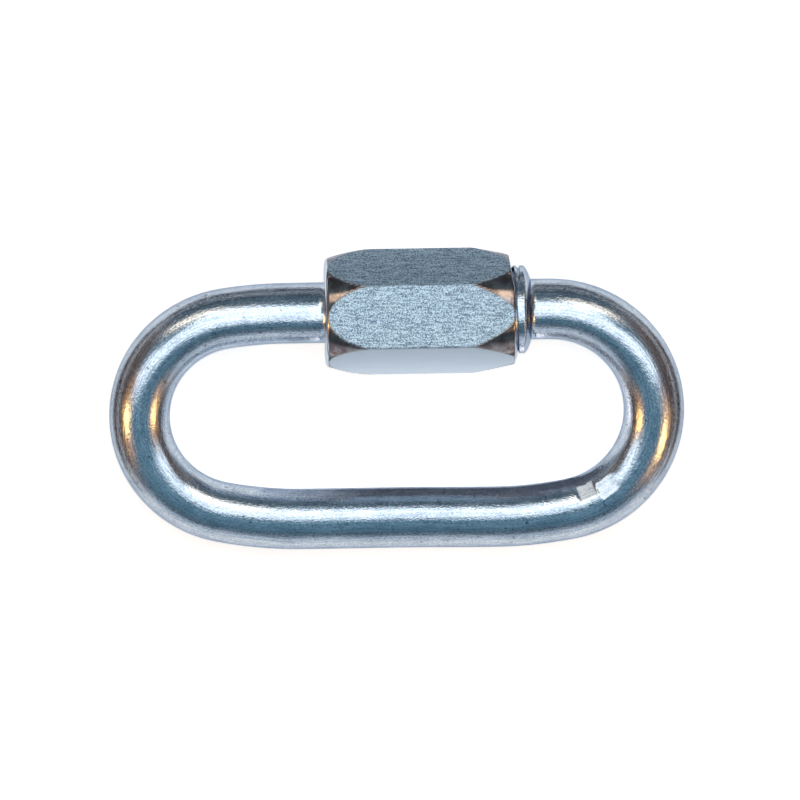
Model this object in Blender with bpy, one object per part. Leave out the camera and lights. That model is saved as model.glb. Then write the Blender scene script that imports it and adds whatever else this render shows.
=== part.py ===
"""Oval chain quick link: a bent steel rod whose gate is bridged by a long hexagonal threaded sleeve.

The link lies on a flat surface, on one flat of the sleeve and on the closed side of the ring. X runs
along the ring, Y from the closed side to the gate, and Z is up. The origin is on that surface, under
the middle of the object. Sizes are in metres and angles in degrees.
"""

import math

import bmesh
import bpy
from mathutils import Matrix, Vector

# The ring.
WIRE_DIAMETER = 0.0060
INSIDE_LENGTH = 0.0448
INSIDE_WIDTH = 0.0149

# Each bend runs into its straights through a slacker arc, which turns by these angles.
EASE_RADIUS = 0.040
EASE_RIGHT_BACK = 9.5
EASE_RIGHT_GATE = 1.5
EASE_LEFT_GATE = 8.5
EASE_LEFT_BACK = 12.0

# The upset, threaded ends of the rod. The gap between their tips is placed from the ring's middle.
GATE_GAP = 0.0078
GATE_PLACE = 0.0029
THREAD_DIAMETER = 0.0087
THREAD_PITCH = 0.0010
THREAD_DEPTH = 0.0005
THREAD_CREST = 0.00025
THREAD_ANGLE = 60.0
LEFT_THREAD_LENGTH = 0.0050
RIGHT_THREAD_LENGTH = 0.0062
GROOVE_END_SPACE = 0.0005
RUN_OUT_TURNS = 0.5
TIP_CHAMFER = 0.0006
SHOULDER_LENGTH = 0.0008

# The sleeve nut, placed from the ring's middle. Its left rim is rounded and its right rim chamfered.
NUT_LENGTH = 0.0189
NUT_ACROSS_FLATS = 0.0108
NUT_PLACE = 0.00245
THREAD_CLEARANCE = 0.0002
BORE_MOUTH = 0.0002
CORNER_CHAMFER_REACH = 0.0042
CORNER_CHAMFER_ANGLE = 10.0
LEFT_RIM_ROUND = 0.0008
RIGHT_RIM_CHAMFER = 0.0008
RIGHT_RIM_LAND = 0.0001

# How finely the round forms are divided.
WIRE_SIDES = 32
ARC_STEP = 0.0013
SHOULDER_STEPS = 4
NUT_SIDES = 60
RIM_STEPS = 3

ROD_COLOUR = (0.50, 0.53, 0.58)
NUT_COLOUR = (0.42, 0.46, 0.51)

WIRE_RADIUS = WIRE_DIAMETER / 2
THREAD_RADIUS = THREAD_DIAMETER / 2
ROOT_RADIUS = THREAD_RADIUS - THREAD_DEPTH
RING_SPACING = INSIDE_WIDTH + WIRE_DIAMETER
RING_LENGTH = INSIDE_LENGTH + WIRE_DIAMETER
LEFT_TIP = GATE_PLACE - GATE_GAP / 2
RIGHT_TIP = GATE_PLACE + GATE_GAP / 2
NUT_CORNER_RADIUS = NUT_ACROSS_FLATS / math.sqrt(3)
BORE_RADIUS = THREAD_RADIUS + THREAD_CLEARANCE

# The ring leans, because the sleeve is thicker than the wire and both touch the surface.
LEAN = math.asin((NUT_ACROSS_FLATS / 2 - WIRE_RADIUS) / RING_SPACING)


def clear_scene():
    """Removes whatever the scene holds."""
    for scene_object in list(bpy.data.objects):
        bpy.data.objects.remove(scene_object)


def plated_steel(name, colour, roughness):
    """A zinc-plated steel of this colour and gloss."""
    material = bpy.data.materials.new(name)
    material.use_nodes = True
    shader = material.node_tree.nodes["Principled BSDF"]
    shader.inputs["Base Color"].default_value = (*colour, 1.0)
    shader.inputs["Metallic"].default_value = 1.0
    shader.inputs["Roughness"].default_value = roughness
    return material


def object_from(bm, name, material=None):
    """A named object of the scene, made from a bmesh."""
    bmesh.ops.recalc_face_normals(bm, faces=bm.faces)
    mesh = bpy.data.meshes.new(name)
    bm.to_mesh(mesh)
    bm.free()
    made = bpy.data.objects.new(name, mesh)
    bpy.context.scene.collection.objects.link(made)
    if material:
        mesh.materials.append(material)
    return made


def cut_by(piece, cutter, operation="DIFFERENCE"):
    """Cuts a piece by a helper, which then stays hidden beside it."""
    modifier = piece.modifiers.new(cutter.name, "BOOLEAN")
    modifier.operation = operation
    modifier.solver = "EXACT"
    modifier.object = cutter
    cutter.parent = piece
    cutter.hide_render = True
    cutter.display_type = "WIRE"


def loft(sections):
    """A closed body through sections of equal vertex counts, with a face on its first and last."""
    bm = bmesh.new()
    rings = [[bm.verts.new(point) for point in section] for section in sections]
    for near, far in zip(rings, rings[1:]):
        for side, corner in enumerate(near):
            after = (side + 1) % len(near)
            bm.faces.new((corner, near[after], far[after], far[side]))
    bm.faces.new(rings[0])
    bm.faces.new(rings[-1])
    return bm


def turned(profile, sides):
    """A closed body turned about X from (x, radius) points. A radius of zero closes its end."""
    bm = bmesh.new()
    points = [bm.verts.new((x, 0.0, radius)) for x, radius in profile]
    edges = [bm.edges.new(pair) for pair in zip(points, points[1:])]
    bmesh.ops.spin(
        bm, geom=points + edges, cent=(0, 0, 0), axis=(1, 0, 0), angle=math.tau, steps=sides
    )
    bmesh.ops.remove_doubles(bm, verts=bm.verts, dist=1e-6)
    return bm


class Rail:
    """The rod's centre line in the ring's plane, drawn as a pen moves from the left tip to the right."""

    def __init__(self, start, heading):
        self.point = Vector(start)
        self.heading = heading
        self.sections = []

    def mark(self, radius):
        """Sets a round section across the rail here."""
        across = Vector((-math.sin(self.heading), math.cos(self.heading), 0.0))
        up = Vector((0.0, 0.0, 1.0))
        angles = [math.tau * side / WIRE_SIDES for side in range(WIRE_SIDES)]
        section = [
            self.point + radius * (math.cos(angle) * across + math.sin(angle) * up)
            for angle in angles
        ]
        self.sections.append(section)

    def advance(self, length):
        """Moves straight on."""
        ahead = Vector((math.cos(self.heading), math.sin(self.heading), 0.0))
        self.point = self.point + length * ahead

    def bend(self, radius, angle):
        """Turns to the left along an arc, with sections all the way."""
        steps = math.ceil(radius * angle / ARC_STEP)
        for _ in range(steps):
            self.heading += angle / steps / 2
            self.advance(2 * radius * math.sin(angle / steps / 2))
            self.heading += angle / steps / 2
            self.mark(WIRE_RADIUS)


def bend_radius(gate_ease, back_ease):
    """The main radius of an end bend, once its two eases have taken their share of the width."""
    eased = EASE_RADIUS * (2 - math.cos(gate_ease) - math.cos(back_ease))
    return (RING_SPACING - eased) / (math.cos(gate_ease) + math.cos(back_ease))


def straight_end(ease, radius):
    """How far from the ring's middle a straight ends, where this ease leads into this bend."""
    reach = EASE_RADIUS * math.sin(ease) + radius * (1 - math.sin(ease))
    return RING_LENGTH / 2 - reach


def threaded_end(thread_length):
    """An upset end as (distance from the tip, radius) steps, from its tip to the plain wire."""
    steps = [
        (0.0, THREAD_RADIUS - TIP_CHAMFER),
        (TIP_CHAMFER, THREAD_RADIUS),
        (thread_length, THREAD_RADIUS),
    ]
    for step in range(1, SHOULDER_STEPS + 1):
        share = step / SHOULDER_STEPS
        drop = (THREAD_RADIUS - WIRE_RADIUS) * math.sin(share * math.pi / 2)
        steps.append((thread_length + share * SHOULDER_LENGTH, THREAD_RADIUS - drop))
    return steps


def bent_rod():
    """The rod's outer form: two threaded ends on one axis, joined round the ring."""
    left_gate, left_back = math.radians(EASE_LEFT_GATE), math.radians(EASE_LEFT_BACK)
    right_gate, right_back = math.radians(EASE_RIGHT_GATE), math.radians(EASE_RIGHT_BACK)
    left_radius = bend_radius(left_gate, left_back)
    right_radius = bend_radius(right_gate, right_back)
    rail = Rail((LEFT_TIP, RING_SPACING / 2, 0.0), math.pi)

    drawn = 0.0
    for distance, radius in threaded_end(LEFT_THREAD_LENGTH):
        rail.advance(distance - drawn)
        rail.mark(radius)
        drawn = distance
    rail.advance(LEFT_TIP + straight_end(left_gate, left_radius) - drawn)
    rail.mark(WIRE_RADIUS)

    rail.bend(EASE_RADIUS, left_gate)
    rail.bend(left_radius, math.pi - left_gate - left_back)
    rail.bend(EASE_RADIUS, left_back)
    rail.advance(straight_end(left_back, left_radius) + straight_end(right_back, right_radius))
    rail.mark(WIRE_RADIUS)
    rail.bend(EASE_RADIUS, right_back)
    rail.bend(right_radius, math.pi - right_gate - right_back)
    rail.bend(EASE_RADIUS, right_gate)

    right_steps = threaded_end(RIGHT_THREAD_LENGTH)
    drawn = straight_end(right_gate, right_radius) - RIGHT_TIP
    for distance, radius in reversed(right_steps):
        rail.advance(drawn - distance)
        rail.mark(radius)
        drawn = distance
    return loft(rail.sections)


def thread_groove(tip, inward, thread_length):
    """A helical cutter for one end, in step with one screw line along the gate's axis.

    It starts a turn outside the tip, runs towards the shoulder, and climbs out of the steel there.
    """
    flank = math.tan(math.radians(THREAD_ANGLE / 2))
    root_half = (THREAD_PITCH - THREAD_CREST) / 2 - THREAD_DEPTH * flank
    over = THREAD_DEPTH / 2
    start = math.floor(tip / THREAD_PITCH * inward) - 1
    end = (tip * inward + thread_length - GROOVE_END_SPACE) / THREAD_PITCH
    steps = math.ceil((end - start) * WIRE_SIDES)
    sections = []
    for step in range(steps + 1):
        turns = start + (end - start) * step / steps
        lift = THREAD_DEPTH * max(0.0, 1 - (end - turns) / RUN_OUT_TURNS)
        turns_round = turns * inward
        across = Vector((0.0, math.cos(math.tau * turns_round), math.sin(math.tau * turns_round)))
        centre = Vector((turns_round * THREAD_PITCH, 0.0, 0.0))
        along = Vector((1.0, 0.0, 0.0))
        root = ROOT_RADIUS + lift
        top = THREAD_RADIUS + over + lift
        top_half = root_half + (top - root) * flank
        section = [
            centre - root_half * along + root * across,
            centre + root_half * along + root * across,
            centre + top_half * along + top * across,
            centre - top_half * along + top * across,
        ]
        sections.append(section)
    return loft(sections)


def make_link_body(frame):
    """The bent rod with a thread cut on each upset end."""
    material = plated_steel("bright_zinc", ROD_COLOUR, 0.25)
    body = object_from(bent_rod(), "link_body", material)
    body.parent = frame
    for side, tip, inward, length in (
        ("left", LEFT_TIP, -1, LEFT_THREAD_LENGTH),
        ("right", RIGHT_TIP, 1, RIGHT_THREAD_LENGTH),
    ):
        groove = object_from(thread_groove(tip, inward, length), f"{side}_thread_cutter")
        groove.location = (0.0, RING_SPACING / 2, 0.0)
        cut_by(body, groove)
    body.data.shade_smooth()
    return body


def chamfer_line(from_end):
    """The radius of the shallow corner chamfer at this distance from an end of the nut."""
    slope = math.tan(math.radians(CORNER_CHAMFER_ANGLE))
    return NUT_CORNER_RADIUS - (CORNER_CHAMFER_REACH - from_end) * slope


def left_rim():
    """(distance from the left end, radius) points of the rounded rim."""
    lean = math.radians(CORNER_CHAMFER_ANGLE)
    centre = chamfer_line(LEFT_RIM_ROUND) - LEFT_RIM_ROUND / math.cos(lean)
    points = []
    for step in range(RIM_STEPS + 1):
        angle = math.pi - (math.pi / 2 - lean) * step / RIM_STEPS
        across = LEFT_RIM_ROUND * math.sin(angle)
        points.append((LEFT_RIM_ROUND * (1 + math.cos(angle)), centre + across))
    return points


def right_rim():
    """(distance from the right end, radius) points of the steep rim chamfer."""
    face = BORE_RADIUS + BORE_MOUTH + RIGHT_RIM_LAND
    return [(0.0, face), (RIGHT_RIM_CHAMFER, chamfer_line(RIGHT_RIM_CHAMFER))]


def nut_envelope():
    """What turning leaves of the hexagon: both rims, and the long cones over the corners."""
    half = NUT_LENGTH / 2
    clear = CORNER_CHAMFER_REACH * 1.1
    left = left_rim() + [(clear, chamfer_line(clear))]
    right = right_rim() + [(clear, chamfer_line(clear))]
    profile = [(-half, 0.0)]
    profile += [(distance - half, radius) for distance, radius in left]
    profile += [(half - distance, radius) for distance, radius in reversed(right)]
    profile += [(half, 0.0)]
    return turned(profile, NUT_SIDES)


def nut_bore():
    """The bore over the thread crests, open past both ends, with a small mouth at each."""
    half = NUT_LENGTH / 2
    past = BORE_MOUTH
    wide = BORE_RADIUS + BORE_MOUTH
    profile = [
        (-half - past, 0.0),
        (-half - past, wide + past),
        (-half + BORE_MOUTH, BORE_RADIUS),
        (half - BORE_MOUTH, BORE_RADIUS),
        (half + past, wide + past),
        (half + past, 0.0),
    ]
    return turned(profile, NUT_SIDES)


def make_sleeve_nut(frame):
    """The long hexagonal nut, with its origin on the gate's axis and a flat to the surface below."""
    hexagon = bmesh.new()
    bmesh.ops.create_cone(
        hexagon,
        cap_ends=True,
        segments=6,
        radius1=NUT_CORNER_RADIUS,
        radius2=NUT_CORNER_RADIUS,
        depth=NUT_LENGTH,
        matrix=Matrix.Rotation(math.pi / 2, 4, "Y"),
    )
    nut = object_from(hexagon, "sleeve_nut", plated_steel("grained_zinc", NUT_COLOUR, 0.38))
    nut.parent = frame
    nut.location = (NUT_PLACE, RING_SPACING / 2, 0.0)
    nut.rotation_euler = (-LEAN, 0.0, 0.0)
    cut_by(nut, object_from(nut_envelope(), "nut_envelope"), "INTERSECT")
    cut_by(nut, object_from(nut_bore(), "nut_bore_cutter"))
    nut.data.shade_smooth()
    return nut


def ring_frame():
    """The empty that holds the ring's plane: it leans, so that the wire and the nut both rest."""
    frame = bpy.data.objects.new("ring_frame", None)
    bpy.context.scene.collection.objects.link(frame)
    middle = RING_SPACING / 2 * Vector((0.0, math.cos(LEAN), math.sin(LEAN)))
    to_gate = middle.y + NUT_CORNER_RADIUS
    to_back = middle.y + WIRE_RADIUS
    frame.location = (0.0, (to_back - to_gate) / 2, WIRE_RADIUS + middle.z)
    frame.rotation_euler = (LEAN, 0.0, 0.0)
    return frame


def main():
    """Builds the quick link with its gate closed."""
    clear_scene()
    frame = ring_frame()
    make_link_body(frame)
    make_sleeve_nut(frame)
    bpy.context.view_layer.update()


main()
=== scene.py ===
"""Looks of a chain quick link: a bent zinc-plated rod and its hexagonal sleeve, on a pale floor.

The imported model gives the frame, in metres: X runs along the ring, Y from its closed side to its
gate, and Z is up. Inside the ring's own frame, Z stands on the ring's plane and the origin is its
middle.
"""

import logging
import math
from collections.abc import Sequence
from dataclasses import dataclass, field
from enum import Enum
from typing import Any

import bpy
from mathutils import Matrix, Vector


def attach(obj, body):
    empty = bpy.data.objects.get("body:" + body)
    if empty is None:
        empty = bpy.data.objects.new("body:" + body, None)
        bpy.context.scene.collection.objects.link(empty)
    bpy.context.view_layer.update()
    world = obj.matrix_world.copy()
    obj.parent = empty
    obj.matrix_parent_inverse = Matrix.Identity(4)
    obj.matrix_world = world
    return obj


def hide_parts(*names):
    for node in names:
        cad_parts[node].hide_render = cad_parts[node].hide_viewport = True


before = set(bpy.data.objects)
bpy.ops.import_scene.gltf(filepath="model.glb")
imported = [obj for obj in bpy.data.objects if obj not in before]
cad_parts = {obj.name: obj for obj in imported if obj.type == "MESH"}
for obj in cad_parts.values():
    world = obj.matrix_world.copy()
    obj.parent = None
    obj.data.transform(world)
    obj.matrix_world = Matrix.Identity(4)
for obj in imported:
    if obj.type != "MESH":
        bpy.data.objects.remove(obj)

LOG = logging.getLogger("quick_link")
MM = 0.001
SMALLEST_RADIUS = 1e-6

Pair = tuple[float, float]
Triple = tuple[float, float, float]
Socket = bpy.types.NodeSocket


class Body(Enum):
    """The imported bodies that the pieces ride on."""

    LINK = "link"
    NUT = "nut"


class Side(Enum):
    """The two ends of the gate, as the sign of their outward way along X."""

    LEFT = -1
    RIGHT = 1


@dataclass(frozen=True)
class Grain:
    """One noise of a finish: its cells for each metre, its finer layers and their strength."""

    cells: float | Triple
    layers: float = 2.0
    strength: float = 0.5


class Graph:
    """A node tree while it is drawn. Most methods add one node and fill its inputs.

    An input is given as a plain value, or as the output socket that it is linked from.
    """

    def __init__(self, tree: bpy.types.NodeTree) -> None:
        """Wraps the tree to draw in."""
        self.tree = tree

    def fill(self, node: bpy.types.Node, inputs: dict[int | str, Any]) -> None:
        """Gives a node's inputs their values, or links them.

        Args:
            node: The node.
            inputs: Values or sockets, by the input's place or name.
        """
        for key, value in inputs.items():
            if isinstance(value, Socket):
                self.tree.links.new(value, node.inputs[key])
            else:
                node.inputs[key].default_value = value

    def node(
        self, kind: str, inputs: dict[int | str, Any] | None = None, **settings: Any
    ) -> bpy.types.Node:
        """Adds one node.

        Args:
            kind: The node's Blender type name.
            inputs: Values or sockets, by the input's place or name.
            **settings: Properties of the node itself.

        Returns:
            The new node.
        """
        made = self.tree.nodes.new(kind)
        for name, value in settings.items():
            setattr(made, name, value)
        self.fill(made, inputs or {})
        return made

    def out(self, kind: str, inputs: dict[int | str, Any] | None = None, **settings: Any) -> Socket:
        """The first output of a new node."""
        return self.node(kind, inputs, **settings).outputs[0]

    def maths(self, operation: str, *values: Any) -> Socket:
        """The output of a Math node."""
        return self.out("ShaderNodeMath", dict(enumerate(values)), operation=operation)

    def times(self, first: Any, second: Any) -> Socket:
        """The product of two numbers."""
        return self.maths("MULTIPLY", first, second)

    def less(self, first: Any, second: Any) -> Socket:
        """The first number less the second."""
        return self.maths("SUBTRACT", first, second)

    def over(self, first: Any, second: Any) -> Socket:
        """The first number over the second."""
        return self.maths("DIVIDE", first, second)

    def weigh(self, values: Sequence[Socket], weights: Sequence[float]) -> Socket:
        """The sum of some values, each times its weight.

        Args:
            values: The values' sockets.
            weights: One weight for each.

        Returns:
            The sum's socket.
        """
        total = self.times(values[0], weights[0])
        for value, weight in zip(values[1:], weights[1:], strict=True):
            total = self.maths("MULTIPLY_ADD", value, weight, total)
        return total

    def vector(self, operation: str, *values: Any) -> Socket:
        """The vector that a Vector Math node gives."""
        inputs = dict(enumerate(values))
        return self.node("ShaderNodeVectorMath", inputs, operation=operation).outputs["Vector"]

    def measure(self, operation: str, *values: Any) -> Socket:
        """The number that a Vector Math node gives."""
        inputs = dict(enumerate(values))
        return self.node("ShaderNodeVectorMath", inputs, operation=operation).outputs["Value"]

    def split(self, vector: Any) -> list[Socket]:
        """The X, Y and Z sockets of a vector."""
        return list(self.node("ShaderNodeSeparateXYZ", {0: vector}).outputs)

    def join(self, x: Any, y: Any, z: Any) -> Socket:
        """One vector from three numbers."""
        return self.out("ShaderNodeCombineXYZ", {0: x, 1: y, 2: z})

    def spread(self, value: Any, span: Pair, to: Pair = (0.0, 1.0)) -> Socket:
        """Maps a number from one range to another, and holds it inside the second."""
        return self.out("ShaderNodeMapRange", dict(enumerate((value, *span, *to))))

    def mix(self, share: Any, first: Any, second: Any) -> Socket:
        """Mixes two numbers by a share from 0 to 1."""
        return self.out("ShaderNodeMix", {0: share, 2: first, 3: second})

    def blend(self, share: Any, first: Triple | Socket, second: Triple | Socket) -> Socket:
        """Mixes two colours by a share from 0 to 1.

        Args:
            share: How much of the second colour there is.
            first: The first colour or its socket.
            second: The second colour or its socket.

        Returns:
            The mixed colour's socket.
        """
        ends = [(*end, 1.0) if isinstance(end, tuple) else end for end in (first, second)]
        inputs = {0: share, 6: ends[0], 7: ends[1]}
        return self.node("ShaderNodeMix", inputs, data_type="RGBA").outputs[2]

    def ramp(self, value: Any, stops: Sequence[tuple[float, Triple]]) -> Socket:
        """Colours a number by stops.

        Args:
            value: The number, from 0 to 1.
            stops: Each stop's place from 0 to 1 and its colour, in order.

        Returns:
            The colour's socket.
        """
        made = self.node("ShaderNodeValToRGB", {0: value})
        elements = made.color_ramp.elements
        while len(elements) > 1:
            elements.remove(elements[-1])
        elements[0].position = stops[0][0]
        elements[0].color = (*stops[0][1], 1.0)
        for place, colour in stops[1:]:
            elements.new(place).color = (*colour, 1.0)
        return made.outputs[0]

    def noise(self, vector: Socket, grain: Grain) -> Socket:
        """A noise's even value from 0 to 1.

        Args:
            vector: The coordinates that it is read at.
            grain: The noise.

        Returns:
            The socket of its value.
        """
        scale = grain.cells
        if isinstance(scale, tuple):
            vector, scale = self.vector("MULTIPLY", vector, scale), 1.0
        inputs = {"Scale": scale, "Detail": grain.layers, "Roughness": grain.strength}
        return self.out("ShaderNodeTexNoise", {"Vector": vector, **inputs})

    def attribute(self, name: str, output: str = "Fac") -> Socket:
        """A value that the mesh carries, as a material reads it."""
        return self.node("ShaderNodeAttribute", attribute_name=name).outputs[output]

    def bump(self, height: Socket, distance: float, below: Socket | None = None) -> Socket:
        """The normal of a raised pattern, on top of another one's where it is given."""
        inputs = {"Height": height, "Distance": distance} | ({"Normal": below} if below else {})
        return self.out("ShaderNodeBump", inputs)


def new_material(name: str) -> tuple[bpy.types.Material, Graph, bpy.types.Node]:
    """Makes a material.

    Args:
        name: Its name.

    Returns:
        (material, its graph, its shader node).
    """
    made = bpy.data.materials.new(name)
    made.use_nodes = True
    return made, Graph(made.node_tree), made.node_tree.nodes["Principled BSDF"]


def new_object(name: str, data: bpy.types.ID) -> bpy.types.Object:
    """Puts a mesh, a light or a camera into the scene.

    Args:
        name: The object's name.
        data: What it shows.

    Returns:
        The object.
    """
    made = bpy.data.objects.new(name, data)
    bpy.context.scene.collection.objects.link(made)
    return made


def flat_mesh(name: str, corners: Sequence[Vector]) -> bpy.types.Mesh:
    """A mesh of one four-cornered face.

    Args:
        name: The mesh's name.
        corners: Its corners, in order.

    Returns:
        The mesh.
    """
    mesh = bpy.data.meshes.new(name)
    mesh.from_pydata(corners, [], [(0, 1, 2, 3)])
    return mesh


def guide_mesh(
    name: str, points: Sequence[Vector], closed: bool, values: dict[str, list[float]]
) -> bpy.types.Mesh:
    """Makes a line of edges, for a Geometry Nodes tree to follow.

    Args:
        name: The mesh's name.
        points: The line's points, in order.
        closed: Whether its last point is joined to its first.
        values: Numbers to keep on the points, by the attribute's name.

    Returns:
        The mesh.
    """
    count = len(points)
    mesh = bpy.data.meshes.new(name)
    edges = [(point, (point + 1) % count) for point in range(count if closed else count - 1)]
    mesh.from_pydata(points, edges, [])
    for label, numbers in values.items():
        mesh.attributes.new(label, "FLOAT", "POINT").data.foreach_set("value", numbers)
    return mesh


class ShapeTree:
    """A Geometry Nodes tree with named inputs, and the plain mesh that it gives."""

    def __init__(
        self, name: str, sizes: dict[str, float | int | Vector | bpy.types.Material]
    ) -> None:
        """Makes an empty tree that has one input socket for each size.

        Args:
            name: The tree's name.
            sizes: Each input's name and its value on this part.
        """
        kinds = {int: "NodeSocketInt", float: "NodeSocketFloat", Vector: "NodeSocketVector"}
        self.tree = bpy.data.node_groups.new(name, "GeometryNodeTree")
        self.sizes = sizes
        sockets = self.tree.interface
        sockets.new_socket("Geometry", in_out="INPUT", socket_type="NodeSocketGeometry")
        self.keys = {
            label: sockets.new_socket(
                label, in_out="INPUT", socket_type=kinds.get(type(value), "NodeSocketMaterial")
            ).identifier
            for label, value in sizes.items()
        }
        sockets.new_socket("Geometry", in_out="OUTPUT", socket_type="NodeSocketGeometry")
        self.graph = Graph(self.tree)
        self.given = self.graph.node("NodeGroupInput").outputs

    def store(self, shape: Socket, name: str, value: Any, kind: str = "FLOAT") -> Socket:
        """Keeps a value on a shape's points.

        Args:
            shape: The geometry's socket.
            name: The attribute's name.
            value: The value or its socket.
            kind: Its data type.

        Returns:
            The geometry's socket with the attribute on it.
        """
        inputs = {"Geometry": shape, "Name": name, "Value": value}
        store = "GeometryNodeStoreNamedAttribute"
        return self.graph.out(store, inputs, data_type=kind, domain="POINT")

    def read(self, name: str, kind: str = "FLOAT") -> Socket:
        """The socket of a stored value."""
        named = self.graph.node("GeometryNodeInputNamedAttribute", {"Name": name}, data_type=kind)
        return named.outputs["Attribute"]

    def circle(self) -> Socket:
        """A circle of radius 1 with the tree's own number of sides."""
        inputs = {"Resolution": self.given["Sides"], "Radius": 1.0}
        return self.graph.out("GeometryNodeCurvePrimitiveCircle", inputs, mode="RADIUS")

    def close(self, shape: Socket) -> None:
        """Ends the tree in real, smooth-shaded geometry of one material.

        Args:
            shape: The geometry's socket.
        """
        graph = self.graph
        real = graph.out("GeometryNodeRealizeInstances", {0: shape})
        smooth = graph.out("GeometryNodeSetShadeSmooth", {"Geometry": real})
        dressed = {"Geometry": smooth, "Material": self.given["Material"]}
        graph.node("NodeGroupOutput", {0: graph.out("GeometryNodeSetMaterial", dressed)})

    def grow(self, name: str, seed: bpy.types.Mesh) -> bpy.types.Object:
        """Runs the tree on a mesh of guide points.

        Args:
            name: The new object's name.
            seed: The guide points, which the tree reads.

        Returns:
            A plain mesh object in the scene.
        """
        guide = new_object(f"{name}_guide", seed)
        modifier = guide.modifiers.new(self.tree.name, "NODES")
        modifier.node_group = self.tree
        for label, value in self.sizes.items():
            modifier[self.keys[label]] = value
        graph = bpy.context.evaluated_depsgraph_get()
        mesh = bpy.data.meshes.new_from_object(guide.evaluated_get(graph), depsgraph=graph)
        mesh.name = name
        mesh.materials.clear()
        mesh.materials.append(self.sizes["Material"])
        guide.modifiers.remove(modifier)
        bpy.data.objects.remove(guide)
        return new_object(name, mesh)


@dataclass(frozen=True)
class DrawnZinc:
    """Bright zinc on drawn rod: fine streaks along the rod, a mottled grain, and dark specks.

    The tone is weighed from streaks, grain and clouds, and the gloss from clouds and grain.
    """

    name: str = "bright_zinc"
    pale: Triple = (0.55, 0.62, 0.70)
    deep: Triple = (0.27, 0.33, 0.41)
    tarnish: Triple = (0.10, 0.09, 0.09)
    edge_tint: Triple = (0.45, 0.51, 0.61)
    roughness: Pair = (0.06, 0.15)
    pressed_roughness: float = 0.30
    streaks: Grain = Grain((330.0, 5200.0, 5200.0), 3.0, 0.6)
    grain: Grain = Grain((4200.0, 8200.0, 8200.0), 2.0, 0.6)
    clouds: Grain = Grain(420.0, 3.0, 0.6)
    fine: Grain = Grain(9000.0, 1.0)
    specks: Grain = Grain(1900.0, 2.0)
    tone_weights: Triple = (0.35, 0.45, 0.20)
    tone_span: Pair = (0.40, 0.60)
    speck_span: Pair = (0.66, 0.74)
    speck_cover: float = 0.7
    gloss_weights: Pair = (0.4, 0.6)
    gloss_span: Pair = (0.35, 0.65)
    streak_height: float = 0.007 * MM
    grain_height: float = 0.018 * MM
    fine_share: float = 0.35

    def material(self) -> bpy.types.Material:
        """The finish as a material, whose streaks follow the rod's stored "drawn" coordinates.

        Returns:
            The material.
        """
        made, graph, shader = new_material(self.name)
        drawn = graph.attribute("drawn", "Vector")
        place = graph.node("ShaderNodeTexCoord").outputs["Object"]
        streaks, grain = graph.noise(drawn, self.streaks), graph.noise(drawn, self.grain)
        clouds, fine = graph.noise(place, self.clouds), graph.noise(place, self.fine)
        specks = graph.noise(place, self.specks)

        tone = graph.weigh((streaks, grain, clouds), self.tone_weights)
        plated = graph.blend(graph.spread(tone, self.tone_span), self.deep, self.pale)
        specks = graph.spread(specks, self.speck_span, (0.0, self.speck_cover))
        gloss = graph.weigh((clouds, grain), self.gloss_weights)
        rough = graph.spread(gloss, self.gloss_span, self.roughness)
        ridged = graph.bump(streaks, self.streak_height)
        pits = graph.maths("MULTIPLY_ADD", fine, self.fine_share, grain)
        dressed = {
            "Base Color": graph.blend(specks, plated, self.tarnish),
            "Roughness": graph.mix(graph.attribute("pressed"), rough, self.pressed_roughness),
            "Metallic": 1.0,
            "Specular Tint": (*self.edge_tint, 1.0),
            "Normal": graph.bump(pits, self.grain_height, ridged),
        }
        graph.fill(shader, dressed)
        return made


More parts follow.
